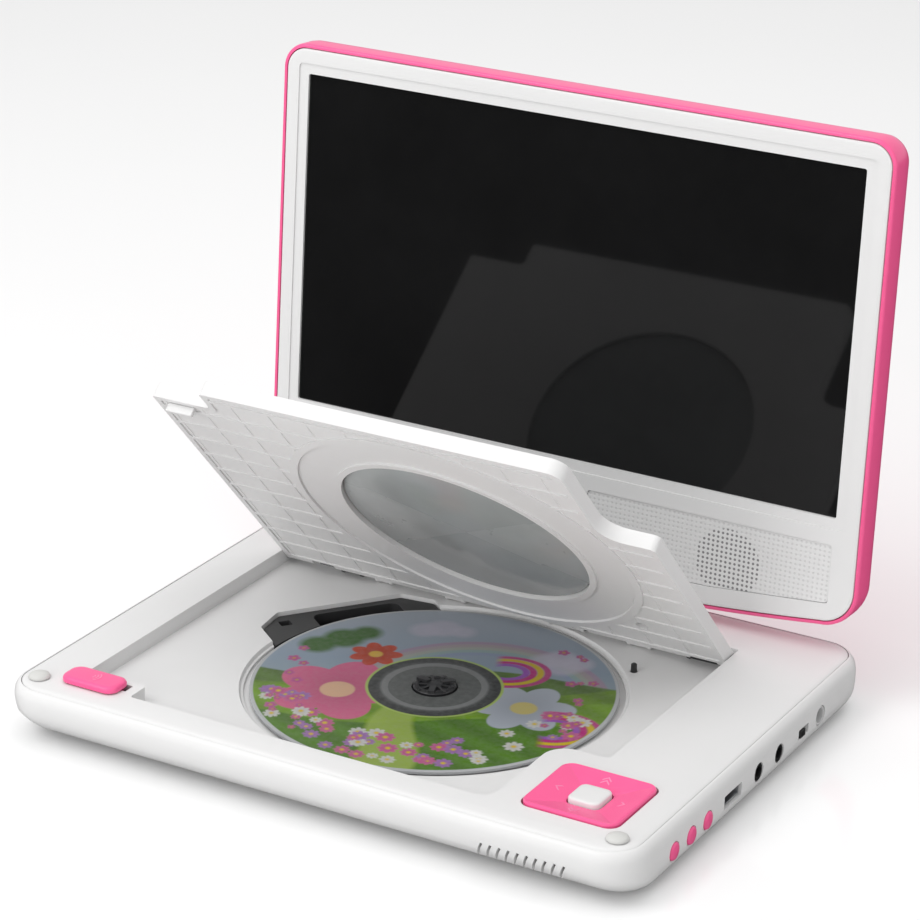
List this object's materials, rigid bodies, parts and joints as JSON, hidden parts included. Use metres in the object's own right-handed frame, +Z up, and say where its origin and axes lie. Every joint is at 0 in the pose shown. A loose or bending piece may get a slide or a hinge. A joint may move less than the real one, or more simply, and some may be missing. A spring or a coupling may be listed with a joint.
{
  "type": "portable dvd player",
  "caption": "White and pink portable disc player with its top-loading lid open over a disc and a wide screen standing on a swivel and tilt hinge.",
  "frame": {"origin": "centre of the whole object's footprint, on the table", "axes": "+Z up, +X to the right-hand side with the ports, +Y to the rear where the screen stands"},
  "size_m": [0.2276, 0.1864, 0.1924],
  "materials": {
    "white_shell": "satin white ABS",
    "pink_shell": "glossy pink ABS",
    "dark_chassis": "dark grey plastic",
    "black_plastic": "black plastic",
    "lcd": "black glass panel",
    "smoked_window": "smoked acrylic",
    "steel": "bright steel",
    "brass": "turned brass",
    "grey_plastic": "light grey plastic",
    "rubber": "soft grey rubber",
    "circuit_board": "green solder mask",
    "battery_wrap": "blue shrink wrap",
    "disc_label": "printed polycarbonate",
    "lens": "coated lens"
  },
  "bodies": {
    "base": {"traverse_plate": "dark_chassis", "guide_rod_inner": "steel", "guide_rod_outer": "steel", "sled_motor": "steel", "bottom_case": "white_shell", "top_deck": "white_shell", "bumper_left": "rubber", "bumper_right": "rubber", "foot_1": "rubber", "foot_2": "rubber", "foot_3": "rubber", "foot_4": "rubber", "case_screw_1": "steel", "case_screw_2": "steel", "case_screw_3": "steel", "case_screw_4": "steel", "spindle_motor": "steel", "main_board": "circuit_board", "battery_pack": "battery_wrap", "key_board": "circuit_board", "lid_switch": "black_plastic", "usb_socket": "steel", "av_jack": "black_plastic", "headphone_jack": "black_plastic", "dc_inlet": "grey_plastic", "power_switch": "black_plastic", "hinge_pin_left": "steel", "hinge_pin_right": "steel"},
    "traverse_turntable": {"turntable": "dark_chassis"},
    "disc": {"disc": "disc_label"},
    "sled": {"optical_sled": "black_plastic", "objective_lens": "lens"},
    "lead_screw": {"lead_screw": "brass"},
    "lid": {"lid": "white_shell", "lid_window": "smoked_window", "lid_spring": "steel"},
    "swivel": {"hinge_head": "white_shell", "swivel_retainer": "steel"},
    "screen": {"screen_back": "pink_shell", "screen_bezel": "white_shell", "lcd_panel": "lcd", "backlight_unit": "steel", "screen_board": "circuit_board", "sensor_window": "black_plastic", "speaker_left": "black_plastic", "speaker_right": "black_plastic", "speaker_grille_left": "white_shell", "speaker_grille_right": "white_shell", "tilt_shaft": "steel"},
    "slider": {"open_slider": "pink_shell"},
    "nav_gimbal": {"nav_gimbal": "black_plastic"},
    "nav_pad": {"nav_pad": "pink_shell"},
    "enter_key": {"enter_key": "white_shell"},
    "side_key_1": {"side_key_1": "pink_shell"},
    "side_key_2": {"side_key_2": "pink_shell"},
    "side_key_3": {"side_key_3": "pink_shell"},
    "power_knob": {"power_knob": "black_plastic"},
    "lid_detect_pin": {"lid_detect_pin": "black_plastic"}
  },
  "joints": [
    {"name": "screen_swivel", "type": "hinge", "parent": "base", "child": "swivel", "pos_m": [-0.0003, 0.06574, 0.016], "axis": [0, 0, 1], "range_deg": [-12, 12]},
    {"name": "screen_tilt", "type": "hinge", "parent": "swivel", "child": "screen", "pos_m": [-0.0003, 0.07464, 0.03], "axis": [-1, 0, 0], "range_deg": [-36, 45]},
    {"name": "lid_hinge", "type": "hinge", "parent": "base", "child": "lid", "pos_m": [-0.0003, 0.04934, 0.0167], "axis": [-1, 0, 0], "range_deg": [-47.2, 0], "stiffness_Nm_per_rad": 0.05, "springref_deg": 68.75},
    {"name": "turntable_spin", "type": "hinge", "parent": "base", "child": "traverse_turntable", "pos_m": [0.0008, -0.01226, 0.012], "axis": [0, 0, 1], "continuous": true},
    {"name": "disc_lift", "type": "slide", "parent": "traverse_turntable", "child": "disc", "axis": [0, 0, 1], "range_m": [0, 0.0014]},
    {"name": "sled_slide", "type": "slide", "parent": "base", "child": "sled", "axis": [-0.788, 0.6157, 0], "range_m": [0, 0.034]},
    {"name": "lead_screw_spin", "type": "hinge", "parent": "base", "child": "lead_screw", "pos_m": [-0.04081, -0.00704, 0.0066], "axis": [-0.788, 0.6157, 0], "range_deg": [0, 4200]},
    {"name": "slider_slide", "type": "slide", "parent": "base", "child": "slider", "axis": [1, 0, 0], "range_m": [0, 0.003], "stiffness_N_per_m": 120},
    {"name": "nav_roll", "type": "hinge", "parent": "base", "child": "nav_gimbal", "pos_m": [0.0844, -0.06296, 0.015], "axis": [1, 0, 0], "range_deg": [-1.5, 1.5], "stiffness_Nm_per_rad": 0.4},
    {"name": "nav_pitch", "type": "hinge", "parent": "nav_gimbal", "child": "nav_pad", "pos_m": [0.0844, -0.06296, 0.015], "axis": [0, 1, 0], "range_deg": [-1.5, 1.5], "stiffness_Nm_per_rad": 0.4},
    {"name": "enter_press", "type": "slide", "parent": "nav_pad", "child": "enter_key", "axis": [0, 0, -1], "range_m": [0, 0.0008], "stiffness_N_per_m": 200},
    {"name": "side_key_1_press", "type": "slide", "parent": "base", "child": "side_key_1", "axis": [-1, 0, 0], "range_m": [0, 0.0006], "stiffness_N_per_m": 200},
    {"name": "side_key_2_press", "type": "slide", "parent": "base", "child": "side_key_2", "axis": [-1, 0, 0], "range_m": [0, 0.0006], "stiffness_N_per_m": 200},
    {"name": "side_key_3_press", "type": "slide", "parent": "base", "child": "side_key_3", "axis": [-1, 0, 0], "range_m": [0, 0.0006], "stiffness_N_per_m": 200},
    {"name": "power_slide", "type": "slide", "parent": "base", "child": "power_knob", "axis": [0, 1, 0], "range_m": [0, 0.003]},
    {"name": "lid_detect_press", "type": "slide", "parent": "base", "child": "lid_detect_pin", "axis": [0, 0, -1], "range_m": [0, 0.002], "stiffness_N_per_m": 60}
  ],
  "couplings": [
    {"joint": "lead_screw_spin", "follows": "sled_slide", "rad_per_m": 2094.4}
  ]
}
